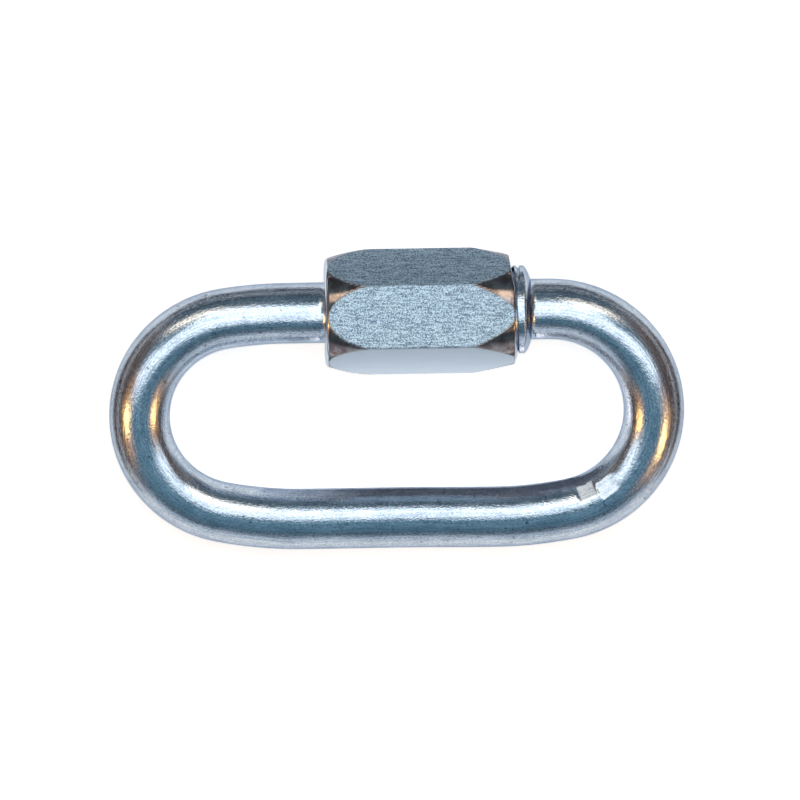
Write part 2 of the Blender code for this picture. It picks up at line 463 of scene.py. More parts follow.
@dataclass(frozen=True)
class GrainedZinc:
    """Zinc over a hexagon bar: sandy flats drawn lengthwise, and smooth turned cones at the ends.

    The near lower flat is plain: its grain is smoothed, and its even paler tone is a painted
    reflection of the pale floor. The turned cones' dark brown is partly their own duller tone and
    partly painted shade of the dark room that they mirror. The tone is weighed from streaks and
    sand, and the drags are darker scratches over it.
    """

    name: str = "grained_zinc"
    pale: Triple = (0.51, 0.67, 0.79)
    deep: Triple = (0.11, 0.17, 0.25)
    drag: Triple = (0.12, 0.15, 0.19)
    # Partly painted shade: the turned cones' brown is their own duller tone, darkened for the dark
    # room that they mirror.
    turned: Triple = (0.15, 0.12, 0.12)
    turned_pale: Triple = (0.27, 0.25, 0.25)
    # Painted reflection: an even paler tone on the near lower flat, for the pale floor that it
    # mirrors.
    lower_flat_sheen: Triple = (0.39, 0.47, 0.54)
    rim: Triple = (0.52, 0.57, 0.65)
    edge_tint: Triple = (0.62, 0.68, 0.76)
    sand: Grain = Grain(7200.0, 2.0, 0.65)
    streaks: Grain = Grain((700.0, 6500.0, 6500.0), 2.0, 0.6)
    drags: Grain = Grain((260.0, 3600.0, 3600.0), 3.0, 0.6)
    lathe: Grain = Grain((9000.0, 150.0, 150.0), 2.0)
    smudges: Grain = Grain(1100.0, 3.0, 0.65)
    tone_weights: Pair = (0.28, 0.72)
    tone_span: Pair = (0.42, 0.58)
    drag_span: Pair = (0.60, 0.72)
    drag_cover: float = 0.55
    # How much of the painted floor reflection covers the near lower flat.
    lower_sheen_cover: float = 0.88
    plain_smoothing: float = 0.85
    smudge_span: Pair = (0.42, 0.60)
    gloss_span: Pair = (0.35, 0.65)
    flat_roughness: Pair = (0.46, 0.60)
    cone_roughness: Pair = (0.09, 0.15)
    streak_share: float = 0.25
    sand_height: float = 0.075 * MM
    ring_height: float = 0.001 * MM

    def material(self) -> bpy.types.Material:
        """The finish as a material, smooth where the stored "turned" share says so.

        Returns:
            The material.
        """
        made, graph, shader = new_material(self.name)
        place = graph.node("ShaderNodeTexCoord").outputs["Object"]
        turned, plain = graph.attribute("turned"), graph.attribute("plain")
        sand, streaks, drags, lathe, smudges = (
            graph.noise(place, grain)
            for grain in (self.sand, self.streaks, self.drags, self.lathe, self.smudges)
        )

        tone = graph.weigh((streaks, sand), self.tone_weights)
        flats = graph.blend(graph.spread(tone, self.tone_span), self.deep, self.pale)
        dragged = graph.spread(drags, self.drag_span, (0.0, self.drag_cover))
        flats = graph.blend(dragged, flats, self.drag)
        # Painted reflection: the near lower flat is painted an even paler tone, for the pale floor
        # that it mirrors.
        flats = graph.blend(graph.times(plain, self.lower_sheen_cover), flats, self.lower_flat_sheen)
        # Partly painted shade: the cones' own duller tone, darkened and browned for the dark room
        # that they mirror.
        cones = graph.blend(graph.spread(smudges, self.smudge_span), self.turned, self.turned_pale)
        cones = graph.blend(graph.attribute("rim"), cones, self.rim)
        flat_rough = graph.spread(sand, self.gloss_span, self.flat_roughness)
        cone_rough = graph.spread(lathe, self.gloss_span, self.cone_roughness)

        relief = graph.maths("MULTIPLY_ADD", streaks, self.streak_share, sand)
        held = graph.maths("MULTIPLY_ADD", plain, -self.plain_smoothing, 1.0)
        held = graph.times(graph.less(1.0, turned), held)
        sanded = graph.bump(graph.times(relief, held), self.sand_height)
        dressed = {
            "Base Color": graph.blend(turned, flats, cones),
            "Roughness": graph.mix(turned, flat_rough, cone_rough),
            "Metallic": 1.0,
            "Specular Tint": (*self.edge_tint, 1.0),
            "Normal": graph.bump(graph.times(lathe, turned), self.ring_height, sanded),
        }
        graph.fill(shader, dressed)
        return made


@dataclass(frozen=True)
class Ring:
    """The oval that the rod is bent to, and how it lies."""

    wire_diameter: float = 6.0 * MM
    inside_length: float = 44.8 * MM
    inside_width: float = 14.9 * MM
    across_flats: float = 10.8 * MM

    @property
    def wire_radius(self) -> float:
        """Half the rod's thickness."""
        return self.wire_diameter / 2

    @property
    def spacing(self) -> float:
        """The distance between the two straights' centre lines."""
        return self.inside_width + self.wire_diameter

    @property
    def length(self) -> float:
        """The centre line's length along X."""
        return self.inside_length + self.wire_diameter

    @property
    def corner_radius(self) -> float:
        """The sleeve's radius over its corners."""
        return self.across_flats / math.sqrt(3)

    @property
    def lean(self) -> float:
        """The ring's tilt: the sleeve is thicker than the rod, and both lie on the floor."""
        return math.asin((self.across_flats / 2 - self.wire_radius) / self.spacing)

    @property
    def middle(self) -> Vector:
        """The ring frame's origin in the world."""
        half = self.spacing / 2 * Vector((0.0, math.cos(self.lean), math.sin(self.lean)))
        return Vector((0.0, (self.wire_radius - self.corner_radius) / 2, self.wire_radius + half.z))

    @property
    def place(self) -> Matrix:
        """The step from the ring frame to the world."""
        return Matrix.Translation(self.middle) @ Matrix.Rotation(self.lean, 4, "X")


@dataclass(frozen=True)
class Thread:
    """The screw thread that both ends of the rod share along one line, and the sleeve follows."""

    diameter: float = 8.7 * MM
    pitch: float = 1.0 * MM
    depth: float = 0.5 * MM
    crest: float = 0.25 * MM
    flank_slope: float = math.tan(math.radians(30.0))
    clearance: float = 0.08 * MM
    start_x: float = 0.32 * MM

    @property
    def radius(self) -> float:
        """The radius over the crests."""
        return self.diameter / 2

    @property
    def root_half(self) -> float:
        """Half the groove's width at its root."""
        return (self.pitch - self.crest) / 2 - self.depth * self.flank_slope


@dataclass
class Section:
    """One section of the rod: its middle, its radius, the rod's length so far, and its cut.

    The cut is the share of the thread's depth that the groove has there.
    """

    place: Vector
    radius: float
    along: float
    cut: float = 0.0


@dataclass(frozen=True)
class ThreadedEnd:
    """One upset end of the rod: where its tip is, how long its thread, how it falls to the wire."""

    side: Side
    tip: float
    thread_length: float
    shoulder_length: float = 0.8 * MM
    shoulder_power: float = 2.2
    tip_chamfer: float = 0.6 * MM
    groove_end_space: float = 0.5 * MM
    run_out: float = 0.5 * MM
    row_step: float = 0.05 * MM

    def rows(self, ring: Ring, thread: Thread) -> list[Section]:
        """The end's sections, from its tip to the plain wire.

        Args:
            ring: The ring, for the wire's radius and the gate's place.
            thread: The thread, for the end's radius.

        Returns:
            The sections in the ring's frame, their length counted from the tip.
        """
        last = self.thread_length + self.shoulder_length
        made = []
        for step in range(round(last / self.row_step) + 1):
            distance = min(step * self.row_step, last)
            radius = thread.radius - max(0.0, self.tip_chamfer - distance)
            if distance > self.thread_length:
                share = (distance - self.thread_length) / self.shoulder_length
                drop = share**self.shoulder_power
                radius = thread.radius - (thread.radius - ring.wire_radius) * drop
            space = self.thread_length - self.groove_end_space - distance
            place = Vector((self.tip + self.side.value * distance, ring.spacing / 2, 0.0))
            made.append(Section(place, radius, distance, min(1.0, max(0.0, space / self.run_out))))
        return made


@dataclass(frozen=True)
class PressMark:
    """A flat that a bending die left on the rod's closed side, where its centre line passes this X.

    The flat faces up, tilted towards the ring's inside, and bites this deep into the round rod.
    """

    x: float
    length: float
    tilt: float
    depth: float
    edge: float = 0.22 * MM


@dataclass
class BentRod:
    """The rod of the link: two threaded ends on one axis, joined by a bent loop.

    Each end bend starts and stops in a wider ease. Its closed side bows out over a short stretch.
    """

    ring: Ring
    thread: Thread
    ends: tuple[ThreadedEnd, ThreadedEnd]
    marks: tuple[PressMark, ...]
    ease_radius: float = 40.0 * MM
    left_eases: Pair = (math.radians(8.5), math.radians(12.0))
    right_eases: Pair = (math.radians(1.5), math.radians(9.5))
    sides: int = 128
    bend_step: float = 0.4 * MM
    marked_step: float = 0.1 * MM
    marked_turn: float = math.radians(32.0)
    straight_step: float = 1.0 * MM
    bulge: float = 0.1 * MM
    bulge_x: float = 9.0 * MM
    bulge_half: float = 9.0 * MM
    rows: list[Section] = field(default_factory=list)

    def bend_radius(self, eases: Pair) -> float:
        """The main radius of an end bend, once its eases have taken their share of the width."""
        turned = math.cos(eases[0]) + math.cos(eases[1])
        return (self.ring.spacing - self.ease_radius * (2 - turned)) / turned

    def straight_end(self, ease: float, radius: float) -> float:
        """How far from the ring's middle a straight ends, by its ease and its bend's radius."""
        reach = self.ease_radius * math.sin(ease) + radius * (1 - math.sin(ease))
        return self.ring.length / 2 - reach

    def run_to(self, x: float) -> None:
        """Marks a straight in even steps, from the last section up to this X.

        Args:
            x: Where the straight ends.
        """
        start, along = self.rows[-1].place, self.rows[-1].along
        steps = math.ceil(abs(x - start.x) / self.straight_step)
        for step in range(1, steps + 1):
            shift = (x - start.x) * step / steps
            place = start + Vector((shift, 0.0, 0.0))
            self.rows.append(Section(place, self.ring.wire_radius, along + abs(shift)))

    def turn(self, heading: float, radius: float, angle: float, longest: float) -> float:
        """Marks an arc to the left, from the last section.

        Args:
            heading: The way that the rod runs there, in radians from X.
            radius: The arc's radius.
            angle: How far it turns.
            longest: The longest step along it.

        Returns:
            The new heading.
        """
        start, along = self.rows[-1].place, self.rows[-1].along
        centre = start + radius * Vector((-math.sin(heading), math.cos(heading), 0.0))
        steps = math.ceil(radius * angle / longest)
        for step in range(1, steps + 1):
            now = heading + angle * step / steps
            place = centre + radius * Vector((math.sin(now), -math.cos(now), 0.0))
            length = along + radius * angle * step / steps
            self.rows.append(Section(place, self.ring.wire_radius, length))
        return heading + angle

    def walk(self) -> None:
        """Fills the rows with the rod's sections, from its left tip to its right one."""
        left, right = self.ends
        left_radius = self.bend_radius(self.left_eases)
        right_radius = self.bend_radius(self.right_eases)
        self.rows = left.rows(self.ring, self.thread)

        heading = math.pi
        self.run_to(-self.straight_end(self.left_eases[0], left_radius))
        for radius, angle in (
            (self.ease_radius, self.left_eases[0]),
            (left_radius, math.pi - sum(self.left_eases)),
            (self.ease_radius, self.left_eases[1]),
        ):
            heading = self.turn(heading, radius, angle, self.bend_step)
        self.run_to(self.straight_end(self.right_eases[1], right_radius))
        for radius, angle, longest in (
            (self.ease_radius, self.right_eases[1], self.bend_step),
            (right_radius, self.marked_turn, self.marked_step),
            (right_radius, math.pi - sum(self.right_eases) - self.marked_turn, self.bend_step),
            (self.ease_radius, self.right_eases[0], self.bend_step),
        ):
            heading = self.turn(heading, radius, angle, longest)

        coming_back = right.rows(self.ring, self.thread)[::-1]
        self.run_to(coming_back[0].place.x)
        end_along = self.rows[-1].along + coming_back[0].along
        for row in coming_back[1:]:
            row.along = end_along - row.along
            self.rows.append(row)
        for row in self.rows:
            from_middle = (row.place.x - self.bulge_x) / self.bulge_half
            if row.place.y < 0 and abs(from_middle) < 1:
                row.place.y -= self.bulge * math.cos(from_middle * math.pi / 2) ** 2

    def build(self, finish: bpy.types.Material) -> bpy.types.Object:
        """Sweeps a round section along the centre line, cuts the threads and presses the marks.

        Args:
            finish: The rod's material.

        Returns:
            The rod as one mesh object.
        """
        self.walk()
        guide = guide_mesh(
            "rod_guide",
            [row.place for row in self.rows],
            closed=False,
            values={
                "section_radius": [row.radius for row in self.rows],
                "along": [row.along for row in self.rows],
                "cut": [row.cut for row in self.rows],
            },
        )
        shape = ShapeTree(
            "swept_threaded_rod",
            {
                "Sides": self.sides,
                "Gate Y": self.ring.spacing / 2,
                "Thread Radius": self.thread.radius,
                "Thread Start": self.thread.start_x,
                "Pitch": self.thread.pitch,
                "Depth": self.thread.depth,
                "Root Half": self.thread.root_half,
                "Flank Slope": self.thread.flank_slope,
                "Place": self.ring.middle,
                "Lean": Vector((self.ring.lean, 0.0, 0.0)),
                "Material": finish,
            },
        )
        graph, given = shape.graph, shape.given
        line = graph.out("GeometryNodeMeshToCurve", {0: given["Geometry"]})
        line = graph.out("GeometryNodeSetCurveNormal", {0: line}, mode="Z_UP")
        round_place = graph.out("GeometryNodeInputPosition")
        section = shape.store(shape.circle(), "round", round_place, "FLOAT_VECTOR")
        reach = shape.read("section_radius")
        swept = {"Curve": line, "Profile Curve": section, "Scale": reach, "Fill Caps": True}
        tube = self.cut_threads(shape, graph.out("GeometryNodeCurveToMesh", swept))
        tube = shape.store(tube, "pressed", 0.0)
        for mark in self.marks:
            tube = self.press(shape, tube, mark)

        reach = shape.read("section_radius")
        across, up, _ = graph.split(shape.read("round", "FLOAT_VECTOR"))
        drawn = graph.join(shape.read("along"), graph.times(across, reach), graph.times(up, reach))
        tube = shape.store(tube, "drawn", drawn, "FLOAT_VECTOR")
        placed = {"Geometry": tube, "Translation": given["Place"], "Rotation": given["Lean"]}
        shape.close(graph.out("GeometryNodeTransform", placed))
        return shape.grow("bent_rod", guide)

    def cut_threads(self, shape: ShapeTree, tube: Socket) -> Socket:
        """Sinks the helical groove where the "cut" share says so.

        Args:
            shape: The rod's tree.
            tube: The swept tube.

        Returns:
            The threaded tube.
        """
        graph, given = shape.graph, shape.given
        x, y, z = graph.split(graph.out("GeometryNodeInputPosition"))
        y = graph.less(y, given["Gate Y"])
        radius = graph.maths("SQRT", graph.maths("ADD", graph.times(y, y), graph.times(z, z)))
        turns = graph.over(graph.maths("ARCTAN2", z, y), math.tau)
        phase = graph.less(graph.over(graph.less(x, given["Thread Start"]), given["Pitch"]), turns)
        from_groove = graph.maths("ABSOLUTE", graph.maths("WRAP", phase, 0.5, -0.5))
        apart = graph.times(from_groove, given["Pitch"])
        climb = graph.over(graph.less(apart, given["Root Half"]), given["Flank Slope"])
        deep = graph.less(given["Depth"], graph.maths("MAXIMUM", climb, 0.0))
        cut = shape.read("cut")
        deep = graph.times(graph.maths("MAXIMUM", deep, 0.0), cut)
        ground = graph.maths("MINIMUM", radius, graph.less(given["Thread Radius"], deep))
        share = graph.over(ground, graph.maths("MAXIMUM", radius, SMALLEST_RADIUS))
        new_y = graph.maths("MULTIPLY_ADD", y, share, given["Gate Y"])
        moved = graph.join(x, new_y, graph.times(z, share))
        threaded = graph.out("FunctionNodeCompare", {0: cut, 1: 0.0}, operation="GREATER_THAN")
        sunk = {"Geometry": tube, "Selection": threaded, "Position": moved}
        return graph.out("GeometryNodeSetPosition", sunk)

    def press(self, shape: ShapeTree, tube: Socket, mark: PressMark) -> Socket:
        """Flattens the tube on a die mark's plane.

        Args:
            shape: The rod's tree.
            tube: The tube to press.
            mark: The mark.

        Returns:
            The marked tube.
        """
        graph, wire = shape.graph, self.ring.wire_radius
        closed_side = [number for number, row in enumerate(self.rows) if row.place.y < 0]
        middle = min(closed_side, key=lambda number: abs(self.rows[number].place.x - mark.x))
        tangent = (self.rows[middle + 1].place - self.rows[middle - 1].place).normalized()
        inward = Vector((-tangent.y, tangent.x, 0.0))
        outward = inward * math.sin(mark.tilt) + Vector((0.0, 0.0, math.cos(mark.tilt)))
        flat = self.rows[middle].place + outward * (wire - mark.depth)

        from_flat = graph.vector("SUBTRACT", graph.out("GeometryNodeInputPosition"), flat)
        above = graph.measure("DOT_PRODUCT", from_flat, outward)
        along = graph.maths("ABSOLUTE", graph.measure("DOT_PRODUCT", from_flat, tangent))
        away = graph.measure("LENGTH", from_flat)
        half = mark.length / 2
        inside = graph.times(
            graph.spread(along, (half - mark.edge, half), (1.0, 0.0)),
            graph.spread(away, (wire, wire + mark.edge), (1.0, 0.0)),
        )
        sink = graph.times(graph.maths("MAXIMUM", above, 0.0), inside)
        bitten = graph.times(graph.maths("GREATER_THAN", above, 0.0), inside)
        tube = shape.store(tube, "pressed", graph.maths("MAXIMUM", shape.read("pressed"), bitten))
        back = graph.out("ShaderNodeVectorMath", {0: -outward, "Scale": sink}, operation="SCALE")
        return graph.out("GeometryNodeSetPosition", {"Geometry": tube, "Offset": back})


@dataclass
class HexSleeve:
    """The long hexagonal nut that bridges the gate, turned at its ends and threaded at its right.

    Its left end is a crown with a rounded rim, and its right one a shallow cone with a chamfer. The
    far side of the right end is drawn in. The near lower flat lies at near_flat round the axis.
    """

    ring: Ring
    thread: Thread
    length: float = 18.9 * MM
    centre_x: float = 2.45 * MM
    bore_clearance: float = 0.2 * MM
    bore_mouth: float = 0.15 * MM
    ridge_gap: float = 0.10 * MM
    cone_reach: float = 4.4 * MM
    cone_spare: float = 0.5 * MM
    cone_slope: float = 0.2
    crown_slope: float = 0.095
    crown_curve: float = 27.5
    middle_rise: float = 1.0 * MM
    left_round: float = 0.6 * MM
    right_chamfer: float = 0.30 * MM
    far_pull: float = 0.5 * MM
    far_span: Pair = (0.50, 0.95)
    pull_reach: float = 1.2 * MM
    corner_softness: float = 0.10 * MM
    edge_softness: float = 0.05 * MM
    turned_fade: float = 0.04 * MM
    near_flat: float = math.radians(300.0)
    flat_half: float = math.radians(30.0)
    flat_fade: float = math.radians(1.0)
    thread_from: float = 7.2 * MM
    thread_to: float = 10.4 * MM
    thread_sides: int = 24
    sides: int = 360
    crowding: float = 0.65
    cone_step: float = 0.1 * MM
    round_steps: int = 12
    chamfer_steps: int = 6
    middle_steps: int = 8
    bore_steps: int = 12

    @property
    def bore(self) -> float:
        """The plain bore's radius."""
        return self.thread.radius + self.bore_clearance

    def cone_radius(self, from_end: float) -> float:
        """The radius of the right end's shallow cone, at this distance from the end."""
        return self.ring.corner_radius - (self.cone_reach - from_end) * self.cone_slope

    def crown_radius(self, from_end: float) -> float:
        """The radius of the left end's crown, at this distance from the end.

        Args:
            from_end: The distance from the sleeve's left end.

        Returns:
            The radius.
        """
        short = self.cone_reach - from_end
        curve = short * abs(short) * self.crown_curve
        return self.ring.corner_radius - short * self.crown_slope - curve

    def left_rim(self) -> list[Pair]:
        """The left end's rounded rim.

        Returns:
            (distance from the end, radius) for each point, from its face.
        """
        lean_in = math.atan(self.crown_slope + 2 * self.crown_curve * self.cone_reach)
        size = self.left_round
        centre = self.crown_radius(size * (1 - math.sin(lean_in))) - size * math.cos(lean_in)
        made = []
        for step in range(self.round_steps + 1):
            angle = math.pi - (math.pi / 2 - lean_in) * step / self.round_steps
            made.append((size * (1 + math.cos(angle)), centre + size * math.sin(angle)))
        return made

    def right_rim(self) -> list[Pair]:
        """The right end's chamfer.

        Returns:
            (distance from the end, radius) for each point, from its face.
        """
        face = self.bore + self.bore_mouth
        rise = self.cone_radius(self.right_chamfer) - face
        shares = [step / self.chamfer_steps for step in range(self.chamfer_steps + 1)]
        return [(self.right_chamfer * share, face + rise * share) for share in shares]

    def profile(self) -> list[Triple]:
        """The closed section that is turned about the axis.

        Returns:
            (x from the nut's middle, radius, 1 outside or 0 in the bore) for each point, in order.
        """
        half, mouth = self.length / 2, self.bore_mouth
        clear = self.cone_reach + self.cone_spare
        left, right = self.left_rim(), self.right_rim()
        for rim, radius_at in ((left, self.crown_radius), (right, self.cone_radius)):
            start = rim[-1][0]
            steps = round((clear - start) / self.cone_step)
            stations = [start + (clear - start) * step / steps for step in range(1, steps + 1)]
            rim += [(station, radius_at(station)) for station in stations]
        points = [(distance - half, radius, 1.0) for distance, radius in left]
        start, run = clear - half, 2 * (half - clear)
        raised = self.cone_radius(clear) + self.middle_rise
        inner = range(1, self.middle_steps)
        points += [(start + run * step / self.middle_steps, raised, 1.0) for step in inner]
        points += [(half - distance, radius, 1.0) for distance, radius in reversed(right)]
        run = self.length - 2 * mouth
        inner = range(self.bore_steps + 1)
        points += [(half - mouth - run * step / self.bore_steps, self.bore, 0.0) for step in inner]
        points += [(-half, self.bore + mouth, 0.0)]
        return points

    def pull(self, station: float) -> float:
        """How far the worn far side of the right end is drawn in, at this place on the sleeve."""
        from_end = self.length / 2 - station
        return self.far_pull * max(0.0, 1 - from_end / self.pull_reach)

    def guide(self) -> bpy.types.Mesh:
        """The section as a closed line, with what the tree needs stored on its points.

        Returns:
            The line's mesh.
        """
        points = self.profile()
        inside_rim = self.length / 2 - self.right_chamfer
        values = {
            "station": [x for x, _, _ in points],
            "turned_radius": [radius for _, radius, _ in points],
            "outer": [outer for _, _, outer in points],
            "pull": [self.pull(x) for x, _, _ in points],
            "rim": [1.0 if abs(x) > inside_rim else 0.0 for x, _, _ in points],
        }
        line = [Vector((x, radius, 0.0)) for x, radius, _ in points]
        return guide_mesh("sleeve_guide", line, closed=True, values=values)

    def build(self, finish: bpy.types.Material) -> bpy.types.Object:
        """Turns the section about the gate's axis, inside a hexagon, and adds the inner thread.

        Args:
            finish: The sleeve's material.

        Returns:
            The sleeve as one mesh object.
        """
        shape = ShapeTree(
            "turned_hexagon_sleeve",
            {
                "Sides": self.sides,
                "Crowding": self.crowding,
                "Flat Radius": self.ring.across_flats / 2,
                "Corner Softness": self.corner_softness,
                "Edge Softness": self.edge_softness,
                "Thread From": self.thread_from,
                "Thread To": self.thread_to,
                "Pitch": self.thread.pitch,
                "Thread Turn": self.thread_turn,
                "Thread Shift": Vector((self.thread.start_x - self.centre_x, 0.0, 0.0)),
                "Material": finish,
            },
        )
        graph, given = shape.graph, shape.given
        section = graph.out("GeometryNodeMeshToCurve", {0: given["Geometry"]})
        share = graph.node("GeometryNodeSplineParameter").outputs["Factor"]
        circle = shape.store(shape.circle(), "round_share", share)
        turned = graph.out("GeometryNodeCurveToMesh", {"Curve": circle, "Profile Curve": section})

        even = graph.times(shape.read("round_share"), math.tau)
        wave = graph.over(graph.maths("SINE", graph.times(even, 6.0)), 6.0)
        angle = graph.less(even, graph.times(wave, given["Crowding"]))
        hexagon = self.hexagon_radius(shape, angle)
        turned_radius, outer = shape.read("turned_radius"), shape.read("outer")
        cut = graph.maths("SMOOTH_MIN", hexagon, turned_radius, given["Edge Softness"])
        radius = graph.mix(outer, turned_radius, cut)
        fade = (-self.turned_fade, self.turned_fade)
        smoothed = graph.spread(graph.less(turned_radius, hexagon), fade, (1.0, 0.0))
        turned = shape.store(turned, "turned", graph.mix(outer, 1.0, smoothed))
        from_near_flat = graph.maths("ABSOLUTE", graph.less(angle, self.near_flat))
        fade = (self.flat_half - self.flat_fade, self.flat_half + self.flat_fade)
        turned = shape.store(turned, "plain", graph.spread(from_near_flat, fade, (1.0, 0.0)))

        sine, cosine = graph.maths("SINE", angle), graph.maths("COSINE", angle)
        drawn_in = graph.times(shape.read("pull"), graph.spread(sine, self.far_span))
        x = graph.less(shape.read("station"), drawn_in)
        place = graph.join(x, graph.times(radius, sine), graph.times(radius, cosine))
        turned = graph.out("GeometryNodeSetPosition", {"Geometry": turned, "Position": place})
        both = graph.node("GeometryNodeJoinGeometry")
        for piece in (turned, self.inner_thread(shape)):
            shape.tree.links.new(piece, both.inputs[0])
        shape.close(both.outputs[0])
        sleeve = shape.grow("hex_sleeve", self.guide())
        gate = self.ring.place @ Vector((self.centre_x, self.ring.spacing / 2, 0.0))
        sleeve.data.transform(Matrix.Translation(gate))
        return sleeve

    @property
    def thread_turn(self) -> Vector:
        """The turn, as Euler angles, from a helix up Z to the rod's own thread along X."""
        stand_to_gate = Matrix(((0.0, 0.0, 1.0), (1.0, 0.0, 0.0), (0.0, 1.0, 0.0)))
        return Vector((Matrix.Rotation(self.ring.lean, 3, "X") @ stand_to_gate).to_euler())

    def inner_thread(self, shape: ShapeTree) -> Socket:
        """Winds the ridge that runs in the rod's groove.

        Args:
            shape: The sleeve's tree.

        Returns:
            The ridge's geometry.
        """
        graph, given, thread = shape.graph, shape.given, self.thread
        crest = thread.radius - thread.depth + self.ridge_gap
        wall = self.bore + self.ridge_gap
        crest_half = thread.root_half + self.ridge_gap * thread.flank_slope - thread.clearance
        wall_half = crest_half + (wall - crest) * thread.flank_slope

        steps = round((self.thread_to - self.thread_from) / thread.pitch * self.thread_sides)
        bottom = graph.join(0.0, 0.0, given["Thread From"])
        top = graph.join(0.0, 0.0, given["Thread To"])
        line = graph.out("GeometryNodeCurvePrimitiveLine", {"Start": bottom, "End": top})
        line = graph.out("GeometryNodeResampleCurve", {"Curve": line, "Count": steps + 1})
        height = graph.split(graph.out("GeometryNodeInputPosition"))[2]
        angle = graph.times(graph.over(height, given["Pitch"]), math.tau)
        middle = (crest + wall) / 2
        x = graph.times(graph.maths("COSINE", angle), middle)
        y = graph.times(graph.maths("SINE", angle), middle)
        wound = {"Geometry": line, "Position": graph.join(x, y, height)}
        helix = graph.out("GeometryNodeSetPosition", wound)
        helix = graph.out("GeometryNodeSetCurveNormal", {0: helix}, mode="Z_UP")
        widths = {"Bottom Width": 2 * wall_half, "Top Width": 2 * crest_half}
        section = graph.out(
            "GeometryNodeCurvePrimitiveQuadrilateral",
            {**widths, "Offset": 0.0, "Height": wall - crest},
            mode="TRAPEZOID",
        )
        crest_inward = {"Geometry": section, "Rotation": (0.0, 0.0, math.pi / 2)}
        section = graph.out("GeometryNodeTransform", crest_inward)
        swept = {"Curve": helix, "Profile Curve": section, "Fill Caps": True}
        ridge = graph.out("GeometryNodeCurveToMesh", swept)
        ridge = shape.store(shape.store(ridge, "turned", 1.0), "plain", 0.0)
        turn, shift = given["Thread Turn"], given["Thread Shift"]
        placed = {"Geometry": ridge, "Translation": shift, "Rotation": turn}
        return graph.out("GeometryNodeTransform", placed)

    def hexagon_radius(self, shape: ShapeTree, angle: Socket) -> Socket:
        """The hexagon's radius at an angle from a flat's middle, its corners slightly rounded.

        Args:
            shape: The sleeve's tree.
            angle: The angle round the axis.

        Returns:
            The radius's socket.
        """
        graph, given = shape.graph, shape.given
        sixth = math.tau / 6
        here = graph.maths("WRAP", angle, sixth / 2, -sixth / 2)
        beyond = graph.less(sixth, graph.maths("ABSOLUTE", here))
        near, far = (
            graph.over(given["Flat Radius"], graph.maths("COSINE", turn)) for turn in (here, beyond)
        )
        return graph.maths("SMOOTH_MIN", near, far, given["Corner Softness"])


@dataclass(frozen=True)
class MirrorCard:
    """A plain card that only the metal's reflections show, in millimetres.

    Its near and far edges run along X, each at its own Y and Z. Its glow fades from its left end,
    over the length that fade gives, into that of its right end, where this is another. A dark card
    is painted shade, and a bright one a painted reflection of light.
    """

    name: str
    span: Pair
    near: Pair
    far: Pair
    glow: Triple
    right_glow: Triple | None = None
    fade: float = 34.0

    def build(self) -> None:
        """Lays the card on the stage."""
        (start, end), (near_y, near_z), (far_y, far_z) = self.span, self.near, self.far
        corners = ((start, near_y, near_z), (end, near_y, near_z), (end, far_y, far_z))
        corners = (*corners, (start, far_y, far_z))
        mesh = flat_mesh(self.name, [Vector(corner) * MM for corner in corners])
        made = new_object(self.name, mesh)
        made.visible_camera = made.visible_diffuse = made.visible_shadow = False
        material, graph, shader = new_material(self.name)
        along = graph.split(graph.node("ShaderNodeTexCoord").outputs["Object"])[0]
        share = graph.spread(along, (start * MM, (start + self.fade) * MM))
        dressed = {
            "Base Color": (0.0, 0.0, 0.0, 1.0),
            "Specular IOR Level": 0.0,
            "Roughness": 1.0,
            "Emission Color": graph.blend(share, self.glow, self.right_glow or self.glow),
            "Emission Strength": 1.0,
        }
        graph.fill(shader, dressed)
        mesh.materials.append(material)


